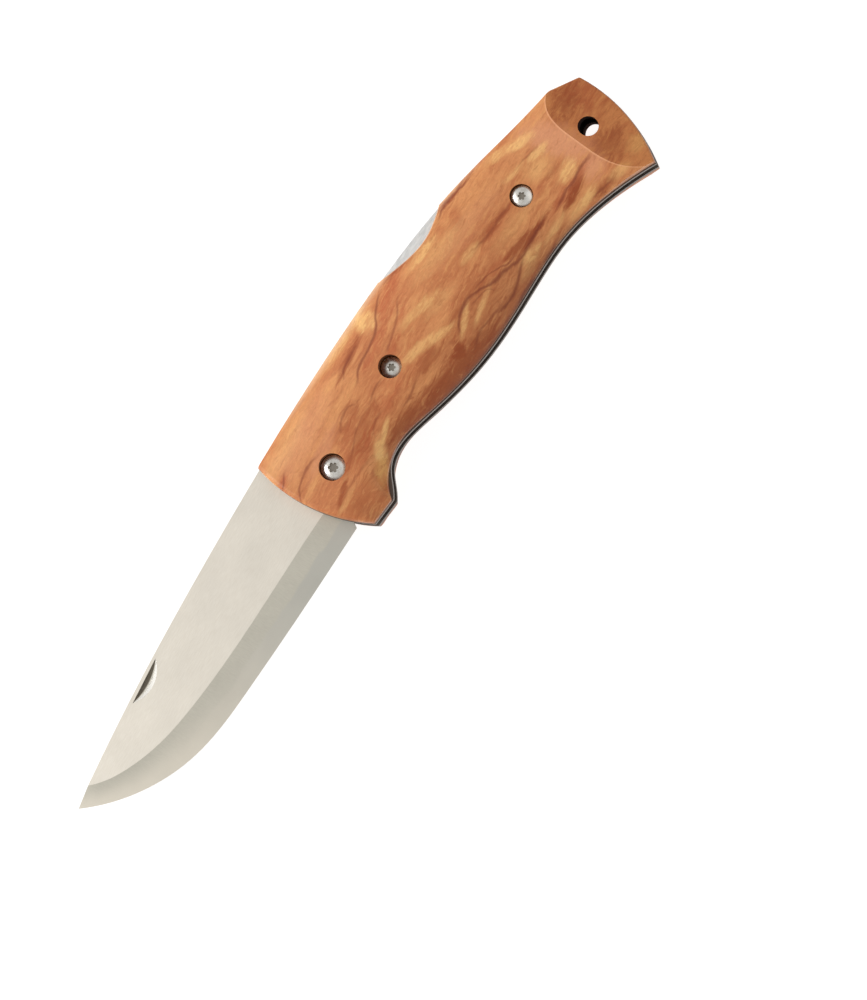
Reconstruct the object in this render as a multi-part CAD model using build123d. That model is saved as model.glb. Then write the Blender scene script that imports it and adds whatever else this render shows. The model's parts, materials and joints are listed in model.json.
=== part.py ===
from build123d import *
import math
import os

# Folding lockback whittling knife, shown open and lying on its rear scale.
# Working frame: the blade pivot's axis is the origin, +X runs to the butt, +Y to the spine
# and +Z out of the front scale. The last step moves every piece to the stored frame.

# ------------------------------------------------------------ driving dimensions, mm
BLADE_THICKNESS = 2.7
EDGE_THICKNESS = 0.14
SLOT_WIDTH = 3.0
LINER_THICKNESS = 1.2
# The wood stops short of the liner's edge: front, chin, belly, butt, butt's corner, spine
SCALE_INSETS = (0.12, 0.08, 0.2, 0.08, 0.08, 0.1)
LOCK_BAR_THICKNESS = 2.9
SPRING_WIDTH = 2.4
WASHER_THICKNESS = 0.12
WASHER_RADIUS = 6.5
WASHER_GAP = 0.05           # radial gap between a washer and the barrel

PIVOT = (0, 0)
MID_SCREW = (25.6, -0.1)
END_SCREW = (72.7, -6.2)
LOCK_PIN = (30, 9.8)
SPACER_PINS = {"spacer_pin_upper": (79, -1), "spacer_pin_lower": (94, -18.5)}
LANYARD_HOLE = (93.35, -11.25)
LANYARD_RADIUS = 2.3

BARREL_RADIUS = 2.5
BARREL_THREAD_RADIUS = 1.5
BARREL_END_GAP = 0.1        # gap between the barrel's end and the screw's head
LOCK_PIN_RADIUS = 1.5
SPACER_PIN_RADIUS = 1.25
RUNNING_GAP = 0.04          # radial clearance of a turning fit
FIXED_GAP = 0.01            # radial clearance of a pressed or threaded fit

SEAT_HEIGHT = 4.7           # counterbore floor above the mid-plane
PIVOT_HEAD_RADIUS = 2.8
PIVOT_SCREW_TIP = 1.2       # above the mid-plane
SCALE_HEAD_RADIUS = 2.4
SCALE_SCREW_RADIUS = 1.25
HEAD_HEIGHT = 1.6
HEAD_DOME = 0.5             # the part of the height that is domed
SEAT_GAP = 0.25             # radial gap between a head and its counterbore
PIVOT_RECESS_RADIUS = 1.2
SCALE_RECESS_RADIUS = 0.95
RECESS_DEPTH = 0.8
RECESS_LOBE = 0.3           # radius of a lobe, as a share of the recess
RECESS_CORE = 0.72          # radius of the round core, as a share of the recess

# Plan of the handle, corner by corner, with the points each curve passes through
SPINE_FRONT = (-8.6, 15.35)
FRONT_BULGE = (-10.35, 1.0)
CHIN_FRONT = (-6.2, -13.9)
CHIN_REAR = (0.5, -14.7)
BELLY = [(3.2, -12.9), (6.5, -10.5), (10.8, -9.65), (16, -10.55), (25, -13.4), (40, -16.75),
         (58, -17.75), (69, -18.55), (80, -21.55)]
BUTT_BELLY = (93.7, -28.1)
BUTT_BULGE = (100.2, -16.1)
BUTT_SPINE = (102.15, -3.4)
SPINE_REAR = (96.1, 0.5)
SPINE = [(87, 2.85), (75, 6.5), (63, 9.5), (40, 12.9), (20, 14.4)]
CORNER_RADIUS = 0.7
INSET_STEP = 7              # spacing of the points that carry an inset curve

# Thumb scoop that bares the lock bar's tail
SCOOP = [(40.5, 12.7), (44.8, 10.6), (49.6, 8.7), (54, 7.95), (58, 8.35), (62, 9.6)]

# Crown of a scale: place along the handle, height above the mid-plane, and how full the
# section stays towards its edges (0 is a soft round edge, 1 an almost flat section)
CROWN = [(-13, 6.2, 0.5), (0, 7.4, 0.4), (12, 7.9, 0.2), (25, 8.2, 0.05), (45, 8.3, 0.0),
         (60, 7.7, 0.05), (72, 6.7, 0.2), (80, 6.5, 0.5), (89, 7.15, 0.9), (96, 7.75, 1.0),
         (105, 8.3, 1.0)]
CROWN_BASE = 1.4
CROWN_LAND = 8.22           # the very top of the crown is sanded flat at this height
SOFT_POWER = 2.4
FULL_POWER = 4.0
SOFT_REACH = 1.03
FULL_REACH = 1.2
ARCH_STEPS = 14
SECTION_PLACES = [-13, -8, -4, -1, 1, 3, 5, 7.5, 10.5, 14, 19, 26, 35, 45, 55, 63, 70, 76, 82,
                  87, 92, 97, 105]
# Rounded edges of a scale, at its front, thumb scoop and butt: an edge's middle, its radius
ROUNDED_EDGES = [((-10, 0.6, 6.6), 1.2), ((51, 8.3, 6.2), 0.8), ((99.7, -16.5, 3.8), 0.5)]

# Sloping flat cut on each scale's butt
FACET_HEIGHT = 5.95         # at the lanyard hole
FACET_SLOPE = 0.3
FACET_DOWNHILL = (0.99, -0.145)
FACET_BLOCK = (60, 90, 20)

# Blade
TIP = (-94.1, 12.65)
BLADE_SPINE = [(-80, 13.85), (-60, 14.95), (-36, 15.45), (-14, 15.4)]
CUTTING_EDGE = [(-12, -10.03), (-32, -8.82), (-52, -7.25), (-64, -5.85), (-72, -3.8),
                (-80, -0.05), (-88, 5.85)]
HEEL = (-9.0, -10.2)
HEEL_TOP = (-8.3, -9.1)
BEVEL_LINE = [(-32, -1.0), (-52, 0.4), (-64, 2.0), (-72, 3.75), (-80, 6.9), (-84.2, 9.3)]
BEVEL_FRONT = (-7.8, -2.45)
BEVEL_SPINE_END = (-89.2, 14.1)
EDGE_PAST_TIP = (-95.3, 14.3)
EDGE_UNDER_HANDLE = (-7.8, -10.27)
TANG_RADIUS = 8.0
TANG_SHOULDER = 2.0
TANG_LOWER_ANGLE = -120
BEVEL_OVERRUN = 0.3         # share of a bevel's width that its cutter runs past each side
BEVEL_LIFT = 10

# Nail nick, cut by a tilted disc
NICK_MIDDLE = (-62.1, 14.05)
NICK_LENGTH = 11.2
NICK_SAGITTA = 1.65
NICK_TILT = 45
NICK_TURN = 3.1
NICK_DISC_HEIGHT = 3

# Lock bar and its spring
NOSE_GAP = 0.15             # between the bar's nose and the tang
NOSE_FRONT_GAP = 0.08
NOSE_REAR_ANGLE = 55
NOSE_TOP_REAR = (9.6, 10.3)
BAR_BELLY = [(29, 6.7), (33.5, 6.3), (38, 8.3), (61.3, 5.6)]
BAR_REAR = 61.3
SPRING_TOP = [(68, 2.4), (63, 3.2), (56, 4.6), (51, 6.35), (48.6, 6.75)]
SPRING_THICKNESS = 0.9

# Back spacer, on the side that faces the folded blade
SPACER_FRONT = 62.6
SPACER_INNER = [(62.6, -0.3), (70, -3.0), (78, -6.6), (84, -11), (88.5, -15.5), (92.5, -21.5),
                (97.5, -25)]

SLOT_HALF = SLOT_WIDTH / 2
BLADE_HALF = BLADE_THICKNESS / 2
LINER_OUTER = SLOT_HALF + LINER_THICKNESS
FAR = 200
SKY = 20


# ------------------------------------------------------------ helpers
def slab(face, low, high):
    """Extrude a plan face between two heights."""
    return Pos(0, 0, low) * extrude(face, amount=high - low)


def rod(place, radius, low, high):
    """Round bar along Z between two heights."""
    height = high - low
    return Pos(place[0], place[1], (low + high) / 2) * Cylinder(radius, height)


def second_at(edge, first):
    """Second coordinate of an edge where its first coordinate is given."""
    low, high = 0.0, 1.0
    rising = edge.position_at(1).X > edge.position_at(0).X
    for _ in range(30):
        middle = (low + high) / 2
        if (edge.position_at(middle).X < first) == rising:
            low = middle
        else:
            high = middle
    return edge.position_at(low).Y


def between(table, place, column):
    """Straight interpolation in a table whose first column is the place."""
    for before, after in zip(table, table[1:]):
        if place <= after[0]:
            share = (place - before[0]) / (after[0] - before[0])
            return before[column] + share * (after[column] - before[column])
    return table[-1][column]


# ------------------------------------------------------------ handle plan
BELLY_CURVE = Spline(CHIN_REAR, *BELLY, BUTT_BELLY)
SPINE_CURVE = Spline(SPINE_REAR, *SPINE, SPINE_FRONT)


def handle_sides():
    """Sides of the handle's outline, anticlockwise from the front of the spine."""
    return [
        ThreePointArc(SPINE_FRONT, FRONT_BULGE, CHIN_FRONT),
        Line(CHIN_FRONT, CHIN_REAR),
        BELLY_CURVE,
        ThreePointArc(BUTT_BELLY, BUTT_BULGE, BUTT_SPINE),
        Line(BUTT_SPINE, SPINE_REAR),
        SPINE_CURVE,
    ]


def inward(side, share):
    """Unit vector that points into the handle from a place on one of its sides."""
    along = side.tangent_at(share)
    return Vector(-along.Y, along.X)


def mitred_corner(before, after, first_inset, second_inset):
    """Corner where two neighbouring sides meet once each is drawn in by its own inset."""
    first, second = inward(before, 1), inward(after, 0)
    turn = first.dot(second)
    spread = 1 - turn ** 2
    first_share = (first_inset - turn * second_inset) / spread
    second_share = (second_inset - turn * first_inset) / spread
    return after @ 0 + first * first_share + second * second_share


def inset_sides(insets):
    """Sides of the handle's outline, each drawn in by its own inset."""
    sides = handle_sides()
    corners = []
    for index, side in enumerate(sides):
        corner = mitred_corner(sides[index - 1], side, insets[index - 1], insets[index])
        corners.append(corner)
    moved = []
    for side, inset, start, end in zip(sides, insets, corners, corners[1:] + corners[:1]):
        straight = side.geom_type == GeomType.LINE
        steps = 1 if straight else max(3, round(side.length / INSET_STEP))
        shares = [step / steps for step in range(1, steps)]
        middle = [side @ share + inward(side, share) * inset for share in shares]
        moved.append(Spline(start, *middle, end) if middle else Line(start, end))
    return moved


def round_corners(block, corners):
    """Ease the chin's rear corner and the butt's upper corner of a slab."""
    for corner in corners:
        uprights = block.edges().filter_by(Axis.Z)
        nearest = uprights.sort_by_distance((*corner, block.center().Z))[0]
        block = fillet(nearest, CORNER_RADIUS)
    return block


def handle_slab(low, high, insets=None):
    """Slab of the handle's plan, with its corners eased."""
    sides = inset_sides(insets) if insets else handle_sides()
    block = slab(make_face(Curve() + sides), low, high)
    return round_corners(block, (CHIN_REAR, BUTT_SPINE))


def scoop_tool():
    """Upright cutter for the thumb scoop."""
    bottom = Spline(*SCOOP)
    above = Polyline(SCOOP[-1], (SCOOP[-1][0], SKY), (SCOOP[0][0], SKY), SCOOP[0])
    return slab(make_face(bottom + above), -SKY, SKY)


# ------------------------------------------------------------ scales
def belly_at(place):
    """Belly of the handle's plan, carried on in line past both of its ends."""
    if place <= CHIN_REAR[0]:
        slope = (CHIN_REAR[1] - CHIN_FRONT[1]) / (CHIN_REAR[0] - CHIN_FRONT[0])
        return CHIN_REAR[1] + slope * (place - CHIN_REAR[0])
    if place >= BUTT_BELLY[0]:
        return BUTT_BELLY[1]
    return second_at(BELLY_CURVE, place)


def spine_at(place):
    """Spine of the handle's plan, carried on level past both of its ends."""
    inside = min(max(place, SPINE_FRONT[0]), SPINE_REAR[0])
    return second_at(SPINE_CURVE, inside)


def crown_section(place, height):
    """Arched cross-section of a scale at one place along the handle."""
    fullness = between(CROWN, place, 2)
    power = SOFT_POWER + fullness * (FULL_POWER - SOFT_POWER)
    reach = SOFT_REACH + fullness * (FULL_REACH - SOFT_REACH)
    centre = (belly_at(place) + spine_at(place)) / 2
    half_width = (spine_at(place) - belly_at(place)) / 2 * reach
    arch = []
    for step in range(ARCH_STEPS + 1):
        angle = math.pi * step / ARCH_STEPS
        across = math.copysign(abs(math.cos(angle)) ** (2 / power), math.cos(angle))
        rise = (height - CROWN_BASE) * math.sin(angle)
        arch.append((centre + half_width * across, CROWN_BASE + rise))
    plane = Plane(origin=(place, 0, 0), x_dir=(0, 1, 0), z_dir=(1, 0, 0))
    return plane * make_face(Spline(*arch) + Line(arch[-1], arch[0]))


def crown_block():
    """Loft of the arched sections over the whole handle."""
    crown_line = Spline(*[(place, height) for place, height, _ in CROWN])
    sections = []
    for place in SECTION_PLACES:
        sections.append(crown_section(place, second_at(crown_line, place)))
    return loft(sections)


def facet_tool():
    """Block whose underside is the sloping flat cut on the butt."""
    normal = (FACET_SLOPE * FACET_DOWNHILL[0], FACET_SLOPE * FACET_DOWNHILL[1], 1)
    plane = Plane(origin=(*LANYARD_HOLE, FACET_HEIGHT), z_dir=normal)
    return plane * Box(*FACET_BLOCK, align=(Align.CENTER, Align.CENTER, Align.MIN))


def make_scale():
    """Front wooden scale; the rear one is its mirror image."""
    scale = handle_slab(LINER_OUTER, CROWN_LAND, SCALE_INSETS) & crown_block()
    scale = scale - scoop_tool() - facet_tool()
    for middle, radius in ROUNDED_EDGES:
        edge = min(scale.edges(), key=lambda edge: (edge.center() - Vector(middle)).length)
        scale = fillet(edge, radius)
    scale -= rod(PIVOT, BARREL_RADIUS + 2 * FIXED_GAP, 0, SEAT_HEIGHT)
    scale -= rod(PIVOT, PIVOT_HEAD_RADIUS + SEAT_GAP, SEAT_HEIGHT, SKY)
    for place in (MID_SCREW, END_SCREW):
        scale -= rod(place, SCALE_SCREW_RADIUS + RUNNING_GAP, 0, SEAT_HEIGHT)
        scale -= rod(place, SCALE_HEAD_RADIUS + SEAT_GAP, SEAT_HEIGHT, SKY)
    scale -= rod(LANYARD_HOLE, LANYARD_RADIUS, 0, SKY)
    return scale


# ------------------------------------------------------------ liners, spacer, pins
def make_liner():
    """Front steel liner; the rear one is its mirror image."""
    liner = handle_slab(SLOT_HALF, LINER_OUTER) - scoop_tool()
    liner -= rod(PIVOT, BARREL_RADIUS + FIXED_GAP, 0, SKY)
    liner -= rod(LOCK_PIN, LOCK_PIN_RADIUS + FIXED_GAP, 0, SKY)
    for place in (MID_SCREW, END_SCREW):
        liner -= rod(place, SCALE_SCREW_RADIUS + FIXED_GAP, 0, SKY)
    for place in SPACER_PINS.values():
        liner -= rod(place, SPACER_PIN_RADIUS + FIXED_GAP, 0, SKY)
    liner -= rod(LANYARD_HOLE, LANYARD_RADIUS, 0, SKY)
    return liner


def spring_face(clearance=0.0):
    """Side view of the bent leaf spring, which can be grown to cut its slot."""
    top = [Vector(*point) for point in SPRING_TOP]
    upper = [(point.X, point.Y + clearance) for point in top]
    lower = [(point.X, point.Y - SPRING_THICKNESS - clearance) for point in top]
    ends = [Line(upper[-1], lower[-1]), Line(lower[0], upper[0])]
    return make_face(Curve() + [Spline(*upper), ends[0], Spline(*reversed(lower)), ends[1]])


def make_spacer():
    """Steel block that closes the slot along the rear of the spine and at the butt."""
    inner = Polyline(*SPACER_INNER)
    outer = Polyline(SPACER_INNER[-1], (FAR, SPACER_INNER[-1][1]), (FAR, SKY),
                     (SPACER_FRONT, SKY), SPACER_INNER[0])
    region = slab(make_face(inner + outer), -SLOT_HALF, SLOT_HALF)
    spacer = handle_slab(-SLOT_HALF, SLOT_HALF) & region
    spacer -= slab(spring_face(FIXED_GAP), -SLOT_HALF, SLOT_HALF)
    for place in SPACER_PINS.values():
        spacer -= rod(place, SPACER_PIN_RADIUS + FIXED_GAP, -SKY, SKY)
    spacer -= rod(LANYARD_HOLE, LANYARD_RADIUS, -SKY, SKY)
    return spacer


def make_lock_bar():
    """Rocking lock bar: nose over the tang, belly on its pin, tail under the thumb scoop."""
    nose_radius = TANG_RADIUS + NOSE_GAP
    nose_front = TANG_SHOULDER + NOSE_FRONT_GAP
    front_angle = math.degrees(math.acos(nose_front / nose_radius))
    nose = CenterArc((0, 0), nose_radius, front_angle, NOSE_REAR_ANGLE - front_angle)
    under = Polyline(nose @ 1, NOSE_TOP_REAR, *BAR_BELLY)
    over = Polyline(BAR_BELLY[-1], (BAR_REAR, SKY), (nose_front, SKY), nose @ 0)
    half = LOCK_BAR_THICKNESS / 2
    bar = handle_slab(-half, half) & slab(make_face(nose + under + over), -half, half)
    return bar - rod(LOCK_PIN, LOCK_PIN_RADIUS + RUNNING_GAP, -SKY, SKY)


def make_washer():
    """Thin bronze washer between the blade and the front liner."""
    low = SLOT_HALF - WASHER_THICKNESS
    washer = rod(PIVOT, WASHER_RADIUS, low, SLOT_HALF)
    return washer - rod(PIVOT, BARREL_RADIUS + WASHER_GAP, 0, SKY)


def make_barrel():
    """Pivot barrel that the blade turns on, threaded at both ends."""
    end = SEAT_HEIGHT - BARREL_END_GAP
    return rod(PIVOT, BARREL_RADIUS, -end, end) - rod(PIVOT, BARREL_THREAD_RADIUS, -SKY, SKY)


# ------------------------------------------------------------ screws
def domed_head(radius, recess_radius):
    """Button head with a six-lobe recess; its seat is at height 0."""
    dome_radius = (radius ** 2 + HEAD_DOME ** 2) / (2 * HEAD_DOME)
    dome = Pos(0, 0, HEAD_HEIGHT - dome_radius) * Sphere(dome_radius)
    head = rod((0, 0), radius, 0, HEAD_HEIGHT) & dome
    floor = HEAD_HEIGHT - RECESS_DEPTH
    lobe = recess_radius * RECESS_LOBE
    reach = recess_radius - lobe
    for turn in range(6):
        angle = math.radians(60 * turn)
        head -= rod((reach * math.cos(angle), reach * math.sin(angle)), lobe, floor, SKY)
    return head - rod((0, 0), recess_radius * RECESS_CORE, floor, SKY)


def make_screw(place, head_radius, recess_radius, shank_radius, tip):
    """Front screw seated in its counterbore, with its shank down to the height of its tip."""
    head = Pos(*place, SEAT_HEIGHT) * domed_head(head_radius, recess_radius)
    return head + rod(place, shank_radius, tip, SEAT_HEIGHT)


# ------------------------------------------------------------ blade
def blade_plan():
    """Outline of blade and tang in the open position."""
    lower = math.radians(TANG_LOWER_ANGLE)
    tang_end = (TANG_RADIUS * math.cos(lower), TANG_RADIUS * math.sin(lower))
    shoulder_foot = (TANG_SHOULDER, math.sqrt(TANG_RADIUS ** 2 - TANG_SHOULDER ** 2))
    shoulder_top = (TANG_SHOULDER, spine_at(TANG_SHOULDER))
    sides = [
        Spline(TIP, *BLADE_SPINE, shoulder_top),
        Line(shoulder_top, shoulder_foot),
        ThreePointArc(shoulder_foot, (TANG_RADIUS, 0), tang_end),
        Polyline(tang_end, HEEL_TOP, HEEL),
        Spline(HEEL, *CUTTING_EDGE, TIP),
    ]
    return make_face(Curve() + sides)


def bevel_tool():
    """Block whose underside is the flat bevel of the blade's front face."""
    edge = [EDGE_UNDER_HANDLE, *CUTTING_EDGE, EDGE_PAST_TIP]
    line = Spline(BEVEL_FRONT, *BEVEL_LINE, BEVEL_SPINE_END)
    low, high = [], []
    edge_curve = Spline(*edge)
    for step in range(ARCH_STEPS + 1):
        share = step / ARCH_STEPS
        foot = edge_curve.position_at(share) + Vector(0, 0, EDGE_THICKNESS / 2)
        top = line.position_at(share) + Vector(0, 0, BLADE_HALF)
        low.append(foot + (foot - top) * BEVEL_OVERRUN)
        high.append(top + (top - foot) * BEVEL_OVERRUN)
    bevel = Face.make_surface_from_curves(Edge.make_spline(low), Edge.make_spline(high))
    return extrude(bevel, amount=BEVEL_LIFT, dir=(0, 0, 1))


def nick_tool():
    """Tilted disc that cuts the nail nick: straight edge above, curved edge below."""
    chord = NICK_LENGTH / 2
    radius = (chord ** 2 + NICK_SAGITTA ** 2) / (2 * NICK_SAGITTA)
    lift = Pos(0, radius - NICK_SAGITTA, 0)
    disc = Cylinder(radius, NICK_DISC_HEIGHT, align=(Align.CENTER, Align.CENTER, Align.MIN))
    lean = Rot(0, 0, NICK_TURN) * Rot(NICK_TILT, 0, 0)
    return Pos(*NICK_MIDDLE, BLADE_HALF) * lean * lift * disc


def make_blade():
    """Blade with its two bevels, nail nick and tang."""
    blade = slab(blade_plan(), -BLADE_HALF, BLADE_HALF)
    bevel = bevel_tool()
    blade = blade - bevel - mirror(bevel, Plane.XY)
    blade -= nick_tool()
    return blade - rod(PIVOT, BARREL_RADIUS + RUNNING_GAP, -SKY, SKY)


# ------------------------------------------------------------ assembly
def make_pieces():
    """Every separate piece by name, in the working frame."""
    scale = make_scale()
    liner = make_liner()
    washer = make_washer()
    pivot_screw = make_screw(PIVOT, PIVOT_HEAD_RADIUS, PIVOT_RECESS_RADIUS,
                             BARREL_THREAD_RADIUS - FIXED_GAP, PIVOT_SCREW_TIP)
    fronts = {"scale": scale, "liner": liner, "washer": washer, "pivot_screw": pivot_screw}
    for name, place in (("scale_screw_mid", MID_SCREW), ("scale_screw_end", END_SCREW)):
        fronts[name] = make_screw(place, SCALE_HEAD_RADIUS, SCALE_RECESS_RADIUS,
                                  SCALE_SCREW_RADIUS, SLOT_HALF)
    pieces = {
        "blade": make_blade(),
        "pivot_barrel": make_barrel(),
        "lock_bar": make_lock_bar(),
        "lock_bar_pin": rod(LOCK_PIN, LOCK_PIN_RADIUS, -LINER_OUTER, LINER_OUTER),
        "lock_spring": slab(spring_face(), -SPRING_WIDTH / 2, SPRING_WIDTH / 2),
        "back_spacer": make_spacer(),
    }
    for name, place in SPACER_PINS.items():
        pieces[name] = rod(place, SPACER_PIN_RADIUS, -LINER_OUTER, LINER_OUTER)
    for name, piece in fronts.items():
        pieces[name + "_front"] = piece
        pieces[name + "_rear"] = mirror(piece, Plane.XY)
    return pieces


def main():
    """Move every piece so that the origin is under the middle of the whole, and write it."""
    pieces = make_pieces()
    box = Compound(children=[Compound(piece.solids()) for piece in pieces.values()]).bounding_box()
    shift = Pos(-(box.min.X + box.max.X) / 2, -(box.min.Y + box.max.Y) / 2, -box.min.Z)
    print("pivot is at", shift.position)
    os.makedirs("parts", exist_ok=True)
    for name, piece in pieces.items():
        export_step(shift * piece, f"parts/{name}.step")


main()
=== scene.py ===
import json
import math

import bmesh
import bpy
from mathutils import Matrix, Vector


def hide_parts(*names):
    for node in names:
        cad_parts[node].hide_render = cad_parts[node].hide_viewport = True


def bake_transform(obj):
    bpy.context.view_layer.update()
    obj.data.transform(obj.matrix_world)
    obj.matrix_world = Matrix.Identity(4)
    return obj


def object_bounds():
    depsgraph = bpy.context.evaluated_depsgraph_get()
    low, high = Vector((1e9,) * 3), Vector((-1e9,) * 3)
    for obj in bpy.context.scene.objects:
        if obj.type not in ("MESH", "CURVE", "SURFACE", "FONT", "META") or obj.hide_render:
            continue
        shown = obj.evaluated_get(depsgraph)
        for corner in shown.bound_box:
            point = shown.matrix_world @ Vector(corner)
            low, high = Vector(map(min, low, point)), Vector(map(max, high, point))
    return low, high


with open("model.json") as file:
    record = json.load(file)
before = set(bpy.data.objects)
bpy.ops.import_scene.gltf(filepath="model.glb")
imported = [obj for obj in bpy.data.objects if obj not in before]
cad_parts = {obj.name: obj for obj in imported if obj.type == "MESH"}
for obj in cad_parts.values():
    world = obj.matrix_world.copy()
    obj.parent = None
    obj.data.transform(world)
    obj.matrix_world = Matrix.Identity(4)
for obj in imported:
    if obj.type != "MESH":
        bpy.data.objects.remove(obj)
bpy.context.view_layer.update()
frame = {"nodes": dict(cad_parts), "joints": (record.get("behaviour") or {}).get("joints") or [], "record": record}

# Lengths are in metres, and places are in the row frame unless a name says otherwise.
# "Knife millimetres" are measured from the blade's pivot: x to the butt, y to the spine,
# z out of the front scale. The wood's figure and the camera are placed in them.
MM = 0.001
JOINTS = {joint["name"]: joint for joint in frame["joints"]}
PIVOT = Vector(JOINTS["blade_fold"]["pos_m"])


def from_pivot(x, y, z=0.0):
    """Row-frame point from knife millimetres."""
    return PIVOT + Vector((x, y, z)) * MM


# ------------------------------------------------------------------ camera
CAMERA_PLACE = from_pivot(4.88, -249, 1141)
CAMERA_TARGET = from_pivot(4.88, -22.01, 0)
KNIFE_SLOPE = math.radians(60)      # how steeply the handle climbs to the right in the picture
LENS_MM = 189.3


def make_camera():
    """Long lens above the knife, leaning a little to the belly, turned so the handle climbs."""
    data = bpy.data.cameras.new("camera")
    data.lens = LENS_MM
    data.sensor_width = 36.0
    data.clip_end = 20.0
    camera = bpy.data.objects.new("camera", data)
    bpy.context.scene.collection.objects.link(camera)
    back = (CAMERA_PLACE - CAMERA_TARGET).normalized()
    along = Vector((1, 0, 0))
    along = (along - back * along.dot(back)).normalized()
    across = back.cross(along)
    right = along * math.cos(KNIFE_SLOPE) - across * math.sin(KNIFE_SLOPE)
    up = along * math.sin(KNIFE_SLOPE) + across * math.cos(KNIFE_SLOPE)
    turn = Matrix((right, up, back)).transposed()
    camera.matrix_world = Matrix.Translation(CAMERA_PLACE) @ turn.to_4x4()
    bpy.context.scene.camera = camera


# ------------------------------------------------------------------ node helpers
def linear(red, green, blue):
    """Linear colour, with alpha, from the usual 0 to 255 screen values."""
    values = [channel / 255 for channel in (red, green, blue)]
    return [v / 12.92 if v <= 0.04045 else ((v + 0.055) / 1.055) ** 2.4 for v in values] + [1.0]


class Graph:
    """A material's node tree, with short calls that add a node and return its output."""

    def __init__(self, name):
        self.material = bpy.data.materials.new(name)
        self.material.use_nodes = True
        self.tree = self.material.node_tree
        self.shader = self.tree.nodes["Principled BSDF"]
        coordinates = self.node("ShaderNodeTexCoord")
        self.place = coordinates.outputs["Object"]
        self.normal = coordinates.outputs["Normal"]

    def node(self, kind, inputs=(), **settings):
        """Add a node, set its settings, and give its inputs values or links."""
        made = self.tree.nodes.new(kind)
        for key, value in settings.items():
            setattr(made, key, value)
        for key, value in dict(inputs).items():
            self.feed(made.inputs[key], value)
        return made

    def feed(self, socket, value):
        """Give a socket a value or a link."""
        if isinstance(value, bpy.types.NodeSocket):
            self.tree.links.new(value, socket)
        else:
            socket.default_value = value

    def math(self, operation, first, second=0.0, third=0.0, clamp=False):
        made = self.node("ShaderNodeMath", {0: first, 1: second, 2: third}, operation=operation)
        made.use_clamp = clamp
        return made.outputs[0]

    def ramp(self, value, low, high, out_low=0.0, out_high=1.0, smooth=True):
        """Value carried from one range to another, clamped."""
        kind = "SMOOTHSTEP" if smooth else "LINEAR"
        inputs = {"Value": value, "From Min": low, "From Max": high,
                  "To Min": out_low, "To Max": out_high}
        return self.node("ShaderNodeMapRange", inputs, interpolation_type=kind).outputs[0]

    def mix(self, share, first, second, blend="MIX"):
        """Colour mix."""
        inputs = {0: share, 6: first, 7: second}
        made = self.node("ShaderNodeMix", inputs, data_type="RGBA", blend_type=blend)
        return made.outputs[2]

    def split(self, vector):
        """The three parts of a vector."""
        return self.node("ShaderNodeSeparateXYZ", {0: vector}).outputs

    def join(self, x, y, z):
        """Vector from its three parts."""
        return self.node("ShaderNodeCombineXYZ", {0: x, 1: y, 2: z}).outputs[0]

    def noise(self, vector, scale, detail=2.0, roughness=0.5, distortion=0.0):
        """Noise value, from about 0.2 to 0.8."""
        inputs = {"Vector": vector, "Scale": scale, "Detail": detail,
                  "Roughness": roughness, "Distortion": distortion}
        return self.node("ShaderNodeTexNoise", inputs).outputs[0]

    def stretch(self, vector, x, y, z):
        """Vector with each part scaled."""
        inputs = {0: vector, 1: (x, y, z)}
        return self.node("ShaderNodeVectorMath", inputs, operation="MULTIPLY").outputs[0]

    def knife_mm(self):
        """Place in knife millimetres."""
        inputs = {0: self.place, 1: tuple(PIVOT)}
        offset = self.node("ShaderNodeVectorMath", inputs, operation="SUBTRACT").outputs[0]
        return self.stretch(offset, 1 / MM, 1 / MM, 1 / MM)

    def distance_in_plan(self, place, middle, unit=1):
        """Distance from an upright axis through a middle, in units of so many millimetres."""
        inputs = {0: place, 1: (*middle, 0)}
        offset = self.node("ShaderNodeVectorMath", inputs, operation="SUBTRACT").outputs[0]
        flat = self.stretch(offset, 1 / unit, 1 / unit, 0)
        return self.node("ShaderNodeVectorMath", {0: flat}, operation="LENGTH").outputs["Value"]

    def bump(self, height, distance, strength=1.0, under=None):
        """Bumped normal, on top of another one if it is given."""
        inputs = {"Height": height, "Distance": distance, "Strength": strength}
        if under is not None:
            inputs["Normal"] = under
        return self.node("ShaderNodeBump", inputs).outputs[0]

    def finish(self, **sockets):
        """Feed the shader's sockets, with underscores for spaces, and return the material."""
        for name, value in sockets.items():
            self.feed(self.shader.inputs[name.replace("_", " ")], value)
        return self.material


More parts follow.
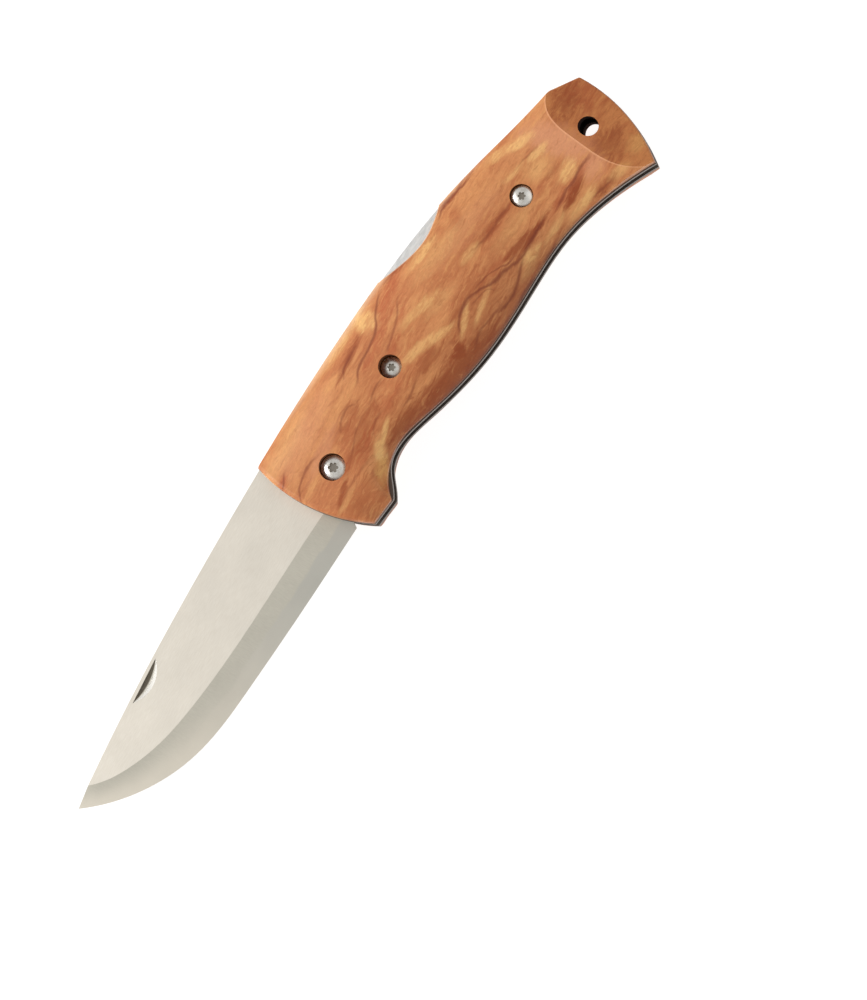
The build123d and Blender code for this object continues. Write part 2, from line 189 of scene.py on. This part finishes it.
# ------------------------------------------------------------------ curly birch
# Soft patches of the wood's figure, with painted sheen and shade among them, in knife millimetres:
# middle x, y, half length, half width, turn in degrees, strength
# The long patch at x 30, y -13.6 is painted shade darkening the lower belly.
DARK_PATCHES = [
    (22.0, 8.9, 5.0, 0.8, 6, 0.75), (36.0, -12.0, 2.4, 1.6, 0, 1.0),
    (32.0, -7.2, 4.6, 1.3, -8, 0.7), (16.5, -9.0, 5.5, 1.7, -12, 0.85),
    (62.5, -11.2, 4.5, 0.8, -10, 0.9), (66.5, -12.8, 5.0, 0.6, -2, 0.95),
    (78.5, -16.2, 4.0, 0.9, 4, 1.0), (63.0, -4.2, 7.0, 0.8, -6, 0.5),
    (9.0, -2.2, 7.0, 1.9, 8, 0.5), (-3.0, -4.6, 3.2, 0.5, 14, 0.8),
    (48.0, -12.6, 9.0, 1.3, 2, 0.45), (42.0, -7.6, 4.0, 1.2, 0, 0.5),
    (46.0, -9.6, 17.0, 3.6, -6, 0.4), (84.0, -21.2, 3.4, 0.8, -16, 0.7),
    (30.0, -13.6, 17.0, 3.2, -10, 0.9), (52.0, -16.4, 14.0, 1.8, -4, 0.5),
    (65.5, 7.8, 5.0, 0.6, -12, 0.9), (45.0, 10.2, 4.0, 0.6, -14, 0.7),
    (-3.0, -9.0, 7.0, 2.0, -4, 0.35), (10.0, 1.0, 5.0, 1.6, 10, 0.35),
    (80.0, -9.4, 3.0, 0.6, -14, 0.45), (96.5, -4.0, 3.5, 2.2, 20, 0.5),
    (92.0, -17.5, 3.0, 2.4, 0, 0.5), (2.0, -12.5, 6.0, 1.0, -3, 0.3),
]
PALE_PATCHES = [
    (31.5, 10.8, 2.2, 2.6, 20, 1.0), (39.5, 0.6, 5.0, 0.9, -16, 0.75),
    (31.5, -3.7, 3.5, 1.0, -18, 0.7), (36.5, -5.8, 4.0, 0.8, -26, 0.7),
    (6.6, -8.6, 4.2, 1.0, 34, 1.0), (11.0, -6.6, 3.6, 0.5, 16, 0.9),
    (5.0, -10.2, 1.8, 1.2, 40, 0.8), (82.6, -12.4, 2.4, 1.4, 0, 0.9),
    (62.5, -14.6, 2.6, 0.8, -6, 0.8), (78.0, -18.9, 3.6, 0.9, -8, 0.85),
    (51.0, 6.7, 4.0, 1.0, -8, 0.8), (24.0, 12.6, 6.0, 0.9, -4, 0.7),
    (42.5, -9.4, 3.0, 0.6, 20, 0.7), (77.5, 3.4, 2.4, 0.9, -24, 0.8),
    (82.4, 0.6, 3.2, 1.1, -30, 0.9), (76.8, -2.2, 2.6, 0.7, -16, 0.7),
    (82.5, -4.4, 2.8, 0.9, -14, 0.8), (56.0, -3.0, 2.4, 0.9, -12, 0.6),
    (47.0, -11.2, 4.0, 0.5, 10, 0.6), (60.0, -15.6, 3.0, 0.7, 0, 0.4),
    (70.0, -16.2, 3.0, 0.6, -4, 0.6), (0.0, 12.0, 9.0, 1.8, 4, 0.3),
    (88.0, -22.5, 2.6, 0.9, -20, 0.5), (-5.0, -6.6, 3.0, 0.5, 0, 0.4),
    (95.5, -22.5, 2.4, 1.6, 0, 0.6), (43.5, -2.5, 4.0, 1.4, -14, 0.35),
    (66.0, -8.0, 6.0, 1.2, -6, 0.3), (52.0, 3.4, 7.0, 1.8, -8, 0.4),
    (80.0, -6.0, 3.0, 2.4, -14, 0.4),
]
RED_PATCHES = [
    (38.5, 8.4, 6.5, 1.3, 14, 1.0), (29.5, 5.2, 7.5, 0.9, 6, 0.8),
    (33.5, 2.6, 7.0, 0.8, 14, 0.8), (-8.9, 7.8, 1.6, 0.8, 16, 1.0),
    (56.0, -9.6, 4.0, 0.9, -10, 0.7), (79.0, -14.4, 6.0, 0.8, -4, 0.8),
    (49.5, 3.0, 3.6, 1.6, 0, 0.3), (8.0, -4.0, 6.0, 1.4, 10, 0.8),
    (21.0, -2.6, 6.0, 1.6, 8, 0.6), (6.0, -0.6, 5.0, 1.2, 14, 0.6),
    (44.0, 5.0, 5.0, 1.2, -6, 0.5), (63.0, -4.6, 6.0, 0.7, -6, 0.6),
    (90.0, 0.0, 3.0, 1.0, -10, 0.3), (75.0, -8.6, 3.0, 0.9, 0, 0.5),
    (99.0, -6.0, 2.6, 4.0, 10, 0.6),
]
# Painted sheen: rosy patches where the crown's highlights turn pink.
SHEEN_PATCHES = [
    (87.4, -7.5, 2.8, 7.0, 12, 0.9), (1.5, 3.6, 5.0, 1.4, 6, 0.5),
    (86.5, -17.0, 3.0, 2.0, 10, 0.8), (4.0, 9.0, 9.0, 2.4, 6, 0.3),
    (60.0, 1.0, 9.0, 2.0, -8, 0.25),
]
# Thin dark lines of the figure: half width, strength, and the points each one runs through
DARK_LINES = [
    (0.22, 0.70, [(-10.5, 2.2), (-8.5, 3.8), (-6, 4.5), (-3, 4.7), (0.5, 4.2)]),
    (0.20, 0.80, [(-10.6, 7.2), (-8.8, 7.7), (-7.4, 8.5), (-6.2, 9.0)]),
    (0.22, 0.65, [(8, 2.6), (10, 3.4), (12.5, 3.6), (15.5, 2.4)]),
    (0.20, 0.65, [(16.5, -0.2), (19, 0.3), (21, 0.4), (23, -0.1)]),
    (0.26, 0.90, [(18.5, 4.4), (21, 5.6), (24, 6.2), (28, 6.3), (31, 6.9), (33.5, 8.6), (36, 9.8),
                  (39, 10.8)]),
    (0.24, 0.60, [(28, 2.4), (32, 3.0), (36, 4.2), (40, 6.2)]),
    (0.22, 0.70, [(18, 7.7), (20, 8.8), (23, 9.0), (26, 9.2)]),
    (0.30, 0.95, [(39.5, -9.8), (41.5, -8.6), (44, -7.8), (47, -7.9), (50, -9.0), (52.5, -10.6),
                  (56, -11.4), (58, -12.2), (61, -13.2), (66, -13.2), (71, -13.0)]),
    (0.20, 0.75, [(50, -8.0), (52.5, -8.6), (55, -9.6), (58, -11.2), (61, -11.9)]),
    (0.18, 0.60, [(46, -9.0), (48.5, -9.7), (50.5, -10.2), (52, -11.8)]),
    (0.26, 0.90, [(48, -14.9), (51, -15.4), (55, -15.2), (58.5, -14.2), (61, -13.6)]),
    (0.28, 0.90, [(74, -14.6), (78, -14.4), (81, -14.8), (84, -14.4), (88, -15.2)]),
    (0.26, 0.85, [(51, -17.6), (54, -17.2), (57, -17.2), (60, -17.8)]),
    (0.26, 0.85, [(61.5, -18.2), (64, -17.8), (66.5, -18.0), (69, -18.8)]),
    (0.24, 0.60, [(57, -3.6), (61, -4.2), (65, -4.6), (70, -5.0)]),
    (0.22, 0.50, [(78, -2.2), (81, -3.0), (84, -3.6)]),
    (0.22, 0.45, [(-5, -5.8), (-1, -5.8), (3, -5.9), (6, -6.4)]),
    (0.22, 0.65, [(19, -7.0), (22, -7.3), (26, -6.8)]),
    (0.20, 0.50, [(4, -2.6), (7, -1.6), (10, -0.6), (12.5, -0.4)]),
    (0.20, 0.50, [(10.5, -4.4), (12.5, -3.6), (14.5, -3.2), (16.5, -3.4)]),
    (0.20, 0.45, [(16.4, -2.9), (17, -1.4), (18.4, -0.6)]),
    (0.24, 0.80, [(59, 7.4), (62, 8.2), (66, 7.6), (70, 6.4)]),
    (0.22, 0.60, [(38, -14.2), (42, -13.4), (46, -14.0), (50, -14.6)]),
    (0.22, 0.60, [(80, -20.2), (83, -20.8), (86, -22.2)]),
]
FIGURE_LOW = (-15.0, -35.0)         # corner of the area that the line curves cover
FIGURE_SIZE = (120.0, 55.0)


def add_patches(graph, x, y, patches, wobble):
    """Sum of soft, ragged ellipses."""
    total = None
    for middle_x, middle_y, length, width, turn, strength in patches:
        cosine, sine = math.cos(math.radians(turn)), math.sin(math.radians(turn))
        shift_x = graph.math("SUBTRACT", x, middle_x)
        shift_y = graph.math("SUBTRACT", y, middle_y)
        along = graph.math("MULTIPLY_ADD", shift_y, sine, graph.math("MULTIPLY", shift_x, cosine))
        across = graph.math("MULTIPLY", shift_y, cosine)
        across = graph.math("MULTIPLY_ADD", shift_x, -sine, across)
        ellipse = graph.join(graph.math("DIVIDE", along, length * 1.25),
                             graph.math("DIVIDE", across, width * 1.25), 0.0)
        reach = graph.node("ShaderNodeVectorMath", {0: ellipse}, operation="LENGTH")
        reach = reach.outputs["Value"]
        ragged = graph.math("MULTIPLY_ADD", wobble, 1.8, reach)
        patch = graph.ramp(ragged, 1.4, 0.4, 0.0, strength)
        total = patch if total is None else graph.math("MAXIMUM", total, patch)
    return total


def add_lines(graph, x, y, wobble):
    """Thin lines that follow smooth curves, fading at both ends."""
    total = None
    share = graph.math("DIVIDE", graph.math("SUBTRACT", x, FIGURE_LOW[0]), FIGURE_SIZE[0])
    for width, strength, points in DARK_LINES:
        curve = graph.node("ShaderNodeFloatCurve", {"Value": share})
        handle = curve.mapping.curves[0]
        placed = [((px - FIGURE_LOW[0]) / FIGURE_SIZE[0], (py - FIGURE_LOW[1]) / FIGURE_SIZE[1])
                  for px, py in points]
        handle.points[0].location = (0.0, placed[0][1])
        handle.points[1].location = (1.0, placed[-1][1])
        for point in placed:
            handle.points.new(*point)
        curve.mapping.update()
        height = graph.math("MULTIPLY_ADD", curve.outputs[0], FIGURE_SIZE[1], FIGURE_LOW[1])
        gap = graph.math("ABSOLUTE", graph.math("SUBTRACT", y, height))
        gap = graph.math("MULTIPLY_ADD", wobble, width * 1.2, gap)
        line = graph.ramp(gap, width * 2.2, 0.0, 0.0, strength)
        start, end = points[0][0], points[-1][0]
        line = graph.math("MULTIPLY", line, graph.ramp(x, start - 1.5, start + 2.0))
        line = graph.math("MULTIPLY", line, graph.ramp(x, end + 1.5, end - 2.5))
        total = line if total is None else graph.math("MAXIMUM", total, line)
    return total


# Places of the holes, in knife millimetres: the screws, pivot first, and the lanyard hole
SCREW_PLACES = [(0, 0), (25.6, -0.1), (72.7, -6.2)]
LANYARD_PLACE = (93.35, -11.25)
# Round holes whose walls are darkened with painted shade: middle, radius, strength
SHADED_BORES = [(SCREW_PLACES[0], 3.05, 0.6), (SCREW_PLACES[1], 2.65, 0.6), (SCREW_PLACES[2], 2.65, 0.6),
         (LANYARD_PLACE, 2.3, 0.97)]
# The butt's sloping facet: its slopes along x and y, its height at the lanyard hole, and the
# height at the pivot that its plane would have if it were carried on
FACET_SLOPE_X = -0.297
FACET_SLOPE_Y = 0.0435
FACET_AT_HOLE = 5.95
FACET_AT_PIVOT = (FACET_AT_HOLE - FACET_SLOPE_X * LANYARD_PLACE[0]
                  - FACET_SLOPE_Y * LANYARD_PLACE[1])


def bore_painted_shade(graph, place):
    """How much painted shade the walls of the round holes get; 0 on the open surface around them."""
    upright = graph.ramp(graph.math("ABSOLUTE", graph.split(graph.normal)[2]), 0.35, 0.2)
    darkest = None
    for middle, radius, strength in SHADED_BORES:
        reach = graph.distance_in_plan(place, middle, radius)
        inside = graph.ramp(reach, 1.12, 1.08, 0.0, strength)
        darkest = inside if darkest is None else graph.math("MAXIMUM", darkest, inside)
    return graph.math("MULTIPLY", upright, darkest)


def birch_material():
    """Oiled curly birch: warm ground, lengthwise fibre, figured patches and thin dark lines, with painted sheen,
    highlights and shade.
    """
    graph = Graph("curly_birch")
    place = graph.knife_mm()
    swirl = graph.node("ShaderNodeTexNoise", {"Vector": graph.stretch(place, 0.16, 0.22, 0.2),
                                              "Scale": 1.0, "Detail": 3.0}).outputs["Color"]
    offset = graph.node("ShaderNodeVectorMath", {0: swirl, 1: (0.5, 0.5, 0.5)},
                        operation="SUBTRACT").outputs[0]
    offset = graph.stretch(offset, 3.0, 2.4, 2.0)
    bent = graph.node("ShaderNodeVectorMath", {0: place, 1: offset}, operation="ADD").outputs[0]
    broad = graph.noise(graph.stretch(place, 0.05, 0.16, 0.16), 1.0, 3.0, 0.6, 0.8)
    streaks = graph.noise(graph.stretch(bent, 0.16, 0.9, 0.7), 1.0, 5.0, 0.62, 0.8)
    flecks = graph.noise(graph.stretch(bent, 0.3, 1.2, 1.0), 1.0, 4.0, 0.65, 0.5)
    fibre = graph.noise(graph.stretch(bent, 0.7, 5.5, 4.5), 1.0, 3.0, 0.6, 0.4)
    mottle = graph.noise(place, 1.6, 4.0, 0.7)
    warp = graph.noise(graph.stretch(place, 0.22, 0.35, 0.3), 1.0, 3.0, 0.6)
    wobble = graph.math("SUBTRACT", warp, 0.5)
    place_x, place_y, place_z = graph.split(place)
    x = graph.math("MULTIPLY_ADD", wobble, 2.6, place_x)
    y = graph.math("MULTIPLY_ADD", wobble, 1.1, place_y)
    ragged = graph.math("SUBTRACT", streaks, 0.5)

    colour = graph.mix(graph.ramp(broad, 0.35, 0.65), linear(187, 114, 69), linear(206, 138, 86))
    colour = graph.mix(graph.ramp(streaks, 0.50, 0.70, 0.0, 0.5), colour, linear(218, 156, 96))
    colour = graph.mix(graph.ramp(streaks, 0.50, 0.30, 0.0, 0.5), colour, linear(164, 90, 50))
    broken = graph.ramp(flecks, 0.36, 0.60, 0.4, 1.0)
    # Painted pinkish sheen.
    sheen = graph.math("MULTIPLY", add_patches(graph, x, y, SHEEN_PATCHES, ragged), 0.8)
    colour = graph.mix(sheen, colour, linear(212, 146, 106))
    red = graph.math("MULTIPLY", add_patches(graph, x, y, RED_PATCHES, ragged), broken)
    colour = graph.mix(graph.math("MULTIPLY", red, 0.7), colour, linear(178, 88, 52))
    # Dark patches of the figure, with the painted shade on the lower belly among them.
    dark = add_patches(graph, x, y, DARK_PATCHES, ragged)
    colour = graph.mix(graph.math("MULTIPLY", dark, 0.85), colour, linear(140, 58, 20))
    pale = add_patches(graph, x, y, PALE_PATCHES, ragged)
    colour = graph.mix(graph.math("MULTIPLY", pale, broken), colour, linear(231, 180, 114))
    colour = graph.mix(graph.ramp(flecks, 0.56, 0.74, 0.0, 0.4), colour, linear(152, 78, 42))
    colour = graph.mix(graph.ramp(flecks, 0.44, 0.28, 0.0, 0.3), colour, linear(220, 158, 100))
    lines = add_lines(graph, x, y, ragged)
    colour = graph.mix(graph.math("MULTIPLY", lines, 0.75), colour, linear(118, 50, 28))

    depth = graph.math("ABSOLUTE", place_z)
    facing = graph.split(graph.normal)[0]
    downhill = graph.math("MULTIPLY_ADD", place_x, FACET_SLOPE_X,
                          graph.math("MULTIPLY_ADD", place_y, FACET_SLOPE_Y, FACET_AT_PIVOT))
    under_facet = graph.math("SUBTRACT", depth, downhill)
    # Darker where the surface faces the butt: end grain that soaks up more oil, and painted shade on the side
    # turned from the key light.
    end_grain_and_shade = graph.ramp(facing, 0.16, 0.24)
    # Painted highlight along the rounded ridge between the crown and the butt facet.
    ridge_highlight = graph.math("MULTIPLY", graph.ramp(under_facet, -0.18, -0.05),
                       graph.ramp(place_x, 84, 86))
    ridge_highlight = graph.math("MULTIPLY", ridge_highlight, graph.math("SUBTRACT", 1.0, end_grain_and_shade))
    colour = graph.mix(end_grain_and_shade, colour, (0.90, 0.80, 0.68, 1.0), blend="MULTIPLY")
    colour = graph.mix(graph.math("MULTIPLY", ridge_highlight, 0.45), colour, linear(240, 178, 132))
    # Painted highlight, cream, on surfaces turned towards the spine and the key light.
    spine_side_highlight = graph.ramp(graph.split(graph.normal)[1], 0.55, 0.9, 0.0, 0.5)
    colour = graph.mix(spine_side_highlight, colour, linear(240, 206, 164))
    # Painted shade on the low wood walls that face the belly, next to the liners.
    belly_wall_shade = graph.math("MULTIPLY", graph.ramp(depth, 4.6, 3.2),
                              graph.ramp(graph.split(graph.normal)[1], -0.3, -0.7))
    colour = graph.mix(graph.math("MULTIPLY", belly_wall_shade, 0.7), colour, linear(92, 58, 44))
    # Painted shade on the walls of the holes, where the wood also loses its shine.
    bore_shade = bore_painted_shade(graph, place)
    colour = graph.mix(bore_shade, colour, linear(50, 26, 20))
    fine = graph.ramp(fibre, 0.25, 0.75, 0.92, 1.07, smooth=False)
    grit = graph.ramp(mottle, 0.3, 0.7, 0.94, 1.06, smooth=False)
    shade = graph.math("MULTIPLY", fine, grit)
    colour = graph.mix(1.0, colour, graph.join(shade, shade, shade), blend="MULTIPLY")

    pores = graph.ramp(graph.noise(graph.stretch(place, 0.9, 9.0, 9.0), 1.0, 2.0), 0.30, 0.40)
    height = graph.math("MULTIPLY_ADD", fibre, 0.5, graph.math("MULTIPLY", pores, 0.5))
    roughness = graph.ramp(fibre, 0.3, 0.7, 0.40, 0.52)
    material = graph.finish(Base_Color=colour, Roughness=roughness,
                            Normal=graph.bump(height, 0.00005, 0.5))
    graph.feed(graph.shader.inputs["Specular IOR Level"], graph.ramp(bore_shade, 0.0, 0.8, 0.3, 0.0))
    graph.shader.inputs["Coat Weight"].default_value = 0.03
    graph.shader.inputs["Coat Roughness"].default_value = 0.35
    return material


# ------------------------------------------------------------------ metals
NICK_MIDDLE = (-62.1, 14.05)
NICK_TURN = math.radians(3.1)
NICK_HALF_LENGTH = 5.6
NICK_WIDTH = 2.33
# Heights, above the mid-plane, of the recess's rim and floor in a screw's head
RECESS_TOP = 6.0
RECESS_FLOOR = 5.5


def steel_material(name, tone, roughness, grain=(0.6, 5, 5), contrast=0.12):
    """Satin metal with fine lines along the longer part of its grain, and painted shade in the bores."""
    graph = Graph(name)
    place = graph.knife_mm()
    lines = graph.noise(graph.stretch(place, *grain), 1.0, 3.0, 0.6)
    cloud = graph.noise(graph.stretch(place, 0.08, 0.12, 0.12), 1.0, 2.0)
    grained = graph.ramp(lines, 0.3, 0.7, 1 - contrast, 1 + contrast, smooth=False)
    clouded = graph.ramp(cloud, 0.3, 0.7, -0.03, 0.03, smooth=False)
    shade = graph.math("ADD", grained, clouded)
    colour = graph.mix(1.0, tone, graph.join(shade, shade, shade), blend="MULTIPLY")
    # Painted shade on the walls of the holes, where the metal is also made dull and unmetallic.
    bore_shade = bore_painted_shade(graph, place)
    colour = graph.mix(bore_shade, colour, linear(24, 18, 16))
    spread = graph.ramp(lines, 0.3, 0.7, roughness - 0.05, roughness + 0.08)
    normal = graph.bump(lines, 0.000004, 0.5)
    bare = graph.ramp(bore_shade, 0.0, 0.5, 1.0, 0.0)
    return graph.finish(Base_Color=colour, Metallic=bare, Roughness=spread, Normal=normal,
                        Specular_IOR_Level=graph.math("MULTIPLY", bare, 0.5))


def nick_share(graph, x, y):
    """How far across the nail nick a place is: 0 at its straight edge, 1 at its curved one."""
    cosine, sine = math.cos(NICK_TURN), math.sin(NICK_TURN)
    shift_x = graph.math("SUBTRACT", x, NICK_MIDDLE[0])
    shift_y = graph.math("SUBTRACT", y, NICK_MIDDLE[1])
    along = graph.math("MULTIPLY_ADD", shift_y, sine, graph.math("MULTIPLY", shift_x, cosine))
    below = graph.math("MULTIPLY_ADD", shift_y, -cosine, graph.math("MULTIPLY", shift_x, sine))
    along = graph.math("DIVIDE", along, NICK_HALF_LENGTH)
    room = graph.math("SUBTRACT", 1.02, graph.math("MULTIPLY", along, along))
    room = graph.math("MULTIPLY", graph.math("MAXIMUM", room, 0.02), NICK_WIDTH)
    return graph.math("DIVIDE", below, room)


def blade_material():
    """Satin flats, stoned bevels in painted shade, a faint lamination line, and a painted tip highlight."""
    graph = Graph("blade_steel")
    place = graph.knife_mm()
    x, y, z = graph.split(place)
    height = graph.math("ABSOLUTE", z)
    facing = graph.math("ABSOLUTE", graph.split(graph.normal)[2])
    bevel = graph.math("MULTIPLY", graph.ramp(facing, 0.9985, 0.996),
                       graph.ramp(facing, 0.8, 0.9))
    along = graph.noise(graph.stretch(place, 0.5, 6.0, 3.0), 1.0, 3.0, 0.6)
    across = graph.noise(graph.stretch(place, 6.0, 0.6, 3.0), 1.0, 3.0, 0.6)
    cloud = graph.noise(graph.stretch(place, 0.10, 0.14, 0.1), 1.0, 3.0)
    wavy = graph.noise(graph.stretch(place, 0.16, 0.3, 0.0), 1.0, 2.0)
    seam = graph.math("MULTIPLY_ADD", graph.math("SUBTRACT", wavy, 0.5), 0.35, height)
    to_tip = graph.ramp(x, -20, -75)
    near_seam = graph.ramp(seam, 0.72, 0.60)
    near_edge = graph.ramp(height, 1.35, 0.15)
    hard = graph.node("ShaderNodeMix", {0: to_tip, 2: near_seam, 3: near_edge}).outputs[0]
    # Painted highlight: the edge zone's tone lightens towards the tip, where the bevel turns to the key light.
    hard_tone_and_tip_highlight = graph.mix(to_tip, linear(211, 208, 197), linear(240, 232, 216))
    flat_tone = graph.mix(graph.ramp(along, 0.3, 0.7),
                          linear(234, 226, 212), linear(241, 234, 221))
    # The bevels' darker tone is their stoned finish and also painted shade for the dimmer light their tilted faces
    # catch.
    bevel_tone_and_shade = graph.mix(graph.ramp(across, 0.3, 0.7),
                           linear(216, 211, 196), linear(223, 218, 203))
    bevel_tone_and_shade = graph.mix(hard, bevel_tone_and_shade, hard_tone_and_tip_highlight)
    colour = graph.mix(bevel, flat_tone, bevel_tone_and_shade)
    shade = graph.ramp(cloud, 0.3, 0.7, 0.965, 1.03, smooth=False)
    colour = graph.mix(1.0, colour, graph.join(shade, shade, shade), blend="MULTIPLY")
    from_nick = graph.node("ShaderNodeVectorMath", {0: place, 1: (*NICK_MIDDLE, 0)},
                           operation="DISTANCE").outputs["Value"]
    slanted = graph.math("MULTIPLY", graph.ramp(facing, 0.85, 0.75), graph.ramp(facing, 0.4, 0.6))
    steep = graph.math("MULTIPLY", slanted, graph.ramp(from_nick, 7.0, 6.5))
    # Painted shade on the nick's wall next to its straight edge, and a painted highlight on the wall beyond it,
    # which is also made less metallic so the key light whitens it.
    shaded = graph.ramp(nick_share(graph, x, y), 0.56, 0.32)
    nick_shade = graph.math("MULTIPLY", steep, shaded)
    nick_highlight = graph.math("SUBTRACT", steep, nick_shade)
    colour = graph.mix(graph.math("MULTIPLY", nick_shade, 0.9), colour, linear(70, 62, 48))
    colour = graph.mix(nick_highlight, colour, linear(255, 252, 245))
    metallic = graph.math("MULTIPLY_ADD", nick_highlight, -0.7, 1.0)
    roughness = graph.node("ShaderNodeMix", {0: bevel, 2: 0.42, 3: 0.46}).outputs[0]
    scratches = graph.node("ShaderNodeMix", {0: bevel, 2: along, 3: across}).outputs[0]
    normal = graph.bump(scratches, 0.000004, 0.5)
    return graph.finish(Base_Color=colour, Metallic=metallic, Roughness=roughness, Normal=normal)


def screw_material():
    """Bright stainless, with painted shade in the six-lobe recess."""
    graph = Graph("screw_steel")
    place = graph.knife_mm()
    cloud = graph.noise(place, 1.4, 3.0, 0.6)
    height = graph.math("ABSOLUTE", graph.split(place)[2])
    sunk = graph.math("MULTIPLY", graph.ramp(height, RECESS_TOP, RECESS_TOP - 0.1),
                      graph.ramp(height, RECESS_FLOOR - 0.3, RECESS_FLOOR - 0.2))
    around = None
    for middle in SCREW_PLACES:
        reach = graph.distance_in_plan(place, middle)
        around = reach if around is None else graph.math("MINIMUM", around, reach)
    # Painted shade at the bottom of each screw's six-lobe recess.
    recess = graph.math("MULTIPLY", sunk, graph.ramp(around, 1.5, 1.4))
    colour = graph.mix(graph.ramp(cloud, 0.35, 0.7), linear(240, 234, 224), linear(252, 250, 244))
    colour = graph.mix(recess, colour, linear(165, 156, 144))
    roughness = graph.ramp(cloud, 0.3, 0.7, 0.24, 0.36)
    return graph.finish(Base_Color=colour, Metallic=1.0, Roughness=roughness,
                        Normal=graph.bump(cloud, 0.00002, 0.4))


def dress_frame():
    """Give every CAD node its finish by the record's material slot."""
    finishes = {
        "birch": birch_material(),
        "blade_steel": blade_material(),
        "screw_steel": screw_material(),
    }
    plain = {
        "lock_steel": (linear(240, 240, 238), 0.42, (0.5, 6, 3), 0.08),
        "liner_steel": (linear(118, 108, 100), 0.45),
        "spring_steel": (linear(120, 120, 122), 0.35),
        "fastener_steel": (linear(190, 190, 188), 0.32, (5, 5, 0.6)),
        "bronze": (linear(205, 160, 100), 0.32, (2, 2, 2)),
    }
    for slot, look in plain.items():
        finishes[slot] = steel_material(slot, *look)
    for row in frame["record"]["subparts"]:
        mesh = frame["nodes"][row["node"]].data
        mesh.materials.clear()
        mesh.materials.append(finishes[row["material_slot"]])
    return finishes


# ------------------------------------------------------------------ lock spring
SPRING_LINE = [(68, 2.4), (63, 3.2), (56, 4.6), (51, 6.35), (48.6, 6.75)]    # its top
SPRING_THICKNESS = 0.9
SPRING_WIDTH = 2.4
SPRING_STEPS = 40


def catmull(points, share):
    """Point on a smooth curve through the points, share 0 to 1 along their list."""
    padded = [points[0] * 2 - points[1], *points, points[-1] * 2 - points[-2]]
    place = share * (len(points) - 1)
    index = min(int(place), len(points) - 2)
    t = place - index
    before, start, end, after = padded[index:index + 4]
    bend = (start * 2 - before * 5 + end * 4 - after) * t * t
    twist = (after - before + (start - end) * 3) * t ** 3
    return (start * 2 + (end - before) * t + bend + twist) / 2


def make_spring(material):
    """Leaf spring with eased edges, which bends between the handle and the lock bar."""
    line = [Vector((x, y, 0)) for x, y in SPRING_LINE]
    half = SPRING_WIDTH / 2
    mesh = bmesh.new()
    rings = []
    section = ((0, -half), (0, half), (SPRING_THICKNESS, half), (SPRING_THICKNESS, -half))
    for step in range(SPRING_STEPS + 1):
        top = catmull(line, step / SPRING_STEPS)
        ring = []
        for drop, side in section:
            ring.append(mesh.verts.new(from_pivot(top.x, top.y - drop, side)))
        rings.append(ring)
    for first, second in zip(rings, rings[1:]):
        for corner in range(4):
            following = (corner + 1) % 4
            mesh.faces.new((first[corner], first[following], second[following], second[corner]))
    mesh.faces.new(reversed(rings[0]))
    mesh.faces.new(rings[-1])
    bmesh.ops.recalc_face_normals(mesh, faces=mesh.faces)
    long_edges = [edge for edge in mesh.edges if edge.calc_face_angle(0) > math.radians(40)]
    bmesh.ops.bevel(mesh, geom=long_edges, offset=0.12 * MM, segments=2, affect="EDGES")
    data = bpy.data.meshes.new("leaf_spring")
    mesh.to_mesh(data)
    mesh.free()
    data.materials.append(material)
    spring = bpy.data.objects.new("leaf_spring", data)
    bpy.context.scene.collection.objects.link(spring)
    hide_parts("lock_spring")
    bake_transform(spring)


# ------------------------------------------------------------------ floor and light
def make_floor():
    """Plain pale floor just under the knife, which glows a little, as a light table does."""
    low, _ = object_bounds()
    bpy.ops.mesh.primitive_plane_add(size=6, location=(0, 0, low.z))
    floor = bpy.context.object
    floor.name = "floor"
    graph = Graph("floor_paper")
    mottle = graph.noise(graph.place, 3.0, 2.0)
    tone = graph.mix(graph.ramp(mottle, 0.3, 0.7), linear(133, 133, 133), linear(136, 136, 136))
    glow = linear(252, 252, 252)
    material = graph.finish(Base_Color=tone, Roughness=0.9,
                            Emission_Color=glow, Emission_Strength=0.93)
    floor.data.materials.append(material)


def add_light(name, place, target, size, watts, colour=(1, 1, 1)):
    """Square area light that faces its target."""
    data = bpy.data.lights.new(name, "AREA")
    data.shape = "SQUARE"
    data.size = size
    data.energy = watts
    data.color = colour
    light = bpy.data.objects.new(name, data)
    light.location = place
    light.rotation_mode = "QUATERNION"
    light.rotation_quaternion = (target - place).to_track_quat("-Z", "Y")
    bpy.context.scene.collection.objects.link(light)


def make_light():
    """Large soft key, low over the spine and the tip, a weak fill, and an even pale surround."""
    middle = from_pivot(0, 0)
    add_light("key", middle + Vector((-0.75, 0.95, 0.85)), middle, 0.9, 21)
    add_light("fill", middle + Vector((0.9, -0.7, 1.3)), middle, 1.2, 2)
    world = bpy.data.worlds.new("studio")
    world.use_nodes = True
    background = world.node_tree.nodes["Background"]
    background.inputs["Color"].default_value = (1, 1, 1, 1)
    background.inputs["Strength"].default_value = 0.5
    bpy.context.scene.world = world
    bpy.context.scene.view_settings.view_transform = "Standard"


make_camera()
make_floor()
make_light()
finishes = dress_frame()
make_spring(finishes["spring_steel"])
